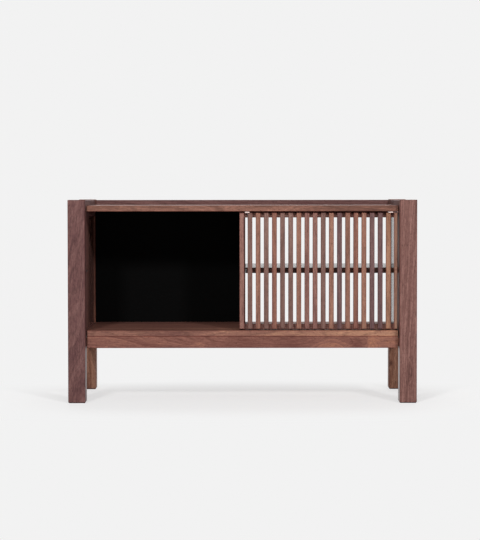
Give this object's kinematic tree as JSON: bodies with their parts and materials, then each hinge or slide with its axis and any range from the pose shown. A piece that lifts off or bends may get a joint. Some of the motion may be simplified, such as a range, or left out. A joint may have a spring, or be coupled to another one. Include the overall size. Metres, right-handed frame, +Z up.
{
  "type": "record cabinet",
  "caption": "Low record cabinet on four corner posts: open record bay, open-backed shelf bay, and a slatted sliding door that covers either bay.",
  "frame": {"origin": "on the floor under the middle of the cabinet", "axes": "+X to the right seen from the front, +Y to the back, +Z up"},
  "size_m": [1.134, 0.457, 0.661],
  "materials": {
    "walnut": "satin lacquered walnut",
    "black_panel": "matt black lacquered board",
    "white_nylon": "natural white nylon",
    "grey_nylon": "warm grey nylon",
    "black_nylon": "black nylon",
    "anodised_track": "bronze anodised",
    "zinc_steel": "zinc plated",
    "beech_dowel": "bare beech",
    "rubber_bumper": "dark rubber",
    "felt_pad": "dark wool felt"
  },
  "bodies": {
    "cabinet": {"bottom_panel": "walnut", "center_divider": "walnut", "door_bumpers": "rubber_bumper", "door_track_bottom": "anodised_track", "door_track_top": "anodised_track", "foot_pads": "felt_pad", "front_rail": "walnut", "gallery_back_rail": "walnut", "middle_shelf": "walnut", "panel_dowels": "beech_dowel", "post_front_left": "walnut", "post_front_right": "walnut", "post_rear_left": "walnut", "post_rear_right": "walnut", "rear_rail": "walnut", "record_bay_back_panel": "black_panel", "shelf_wires": "zinc_steel", "side_bottom_rail_left": "walnut", "side_bottom_rail_right": "walnut", "side_panel_left": "walnut", "side_panel_right": "walnut", "side_top_rail_left": "walnut", "side_top_rail_right": "walnut", "top_panel": "walnut", "track_end_stop": "grey_nylon", "track_screws": "zinc_steel"},
    "door": {"door_slat_01": "walnut", "door_slat_02": "walnut", "door_slat_03": "walnut", "door_slat_04": "walnut", "door_slat_05": "walnut", "door_slat_06": "walnut", "door_slat_07": "walnut", "door_slat_08": "walnut", "door_slat_09": "walnut", "door_slat_10": "walnut", "door_slat_11": "walnut", "door_slat_12": "walnut", "door_slat_13": "walnut", "door_slat_14": "walnut", "door_slat_15": "walnut", "door_slat_16": "walnut", "door_slat_17": "walnut", "door_slat_18": "walnut", "door_slat_19": "walnut", "door_slat_20": "walnut", "door_rail_top": "walnut", "door_rail_bottom": "walnut", "door_guide_left": "white_nylon", "door_guide_right": "white_nylon", "roller_housing_left": "black_nylon", "roller_housing_right": "black_nylon", "roller_axles": "zinc_steel", "slat_screws": "zinc_steel", "guide_screws": "zinc_steel"},
    "roller_left": {"roller_wheel_left": "black_nylon"},
    "roller_right": {"roller_wheel_right": "black_nylon"}
  },
  "joints": [
    {"name": "door_slide", "type": "slide", "parent": "cabinet", "child": "door", "axis": [1, 0, 0], "range_m": [-0.497, 0]},
    {"name": "roller_left_spin", "type": "hinge", "parent": "door", "child": "roller_left", "pos_m": [0.03815, -0.1665, 0.2406], "axis": [0, 1, 0], "continuous": true},
    {"name": "roller_right_spin", "type": "hinge", "parent": "door", "child": "roller_right", "pos_m": [0.46375, -0.1665, 0.2406], "axis": [0, 1, 0], "continuous": true}
  ],
  "couplings": [
    {"joint": "roller_left_spin", "follows": "door_slide", "rad_per_m": 111.11},
    {"joint": "roller_right_spin", "follows": "door_slide", "rad_per_m": 111.11}
  ]
}
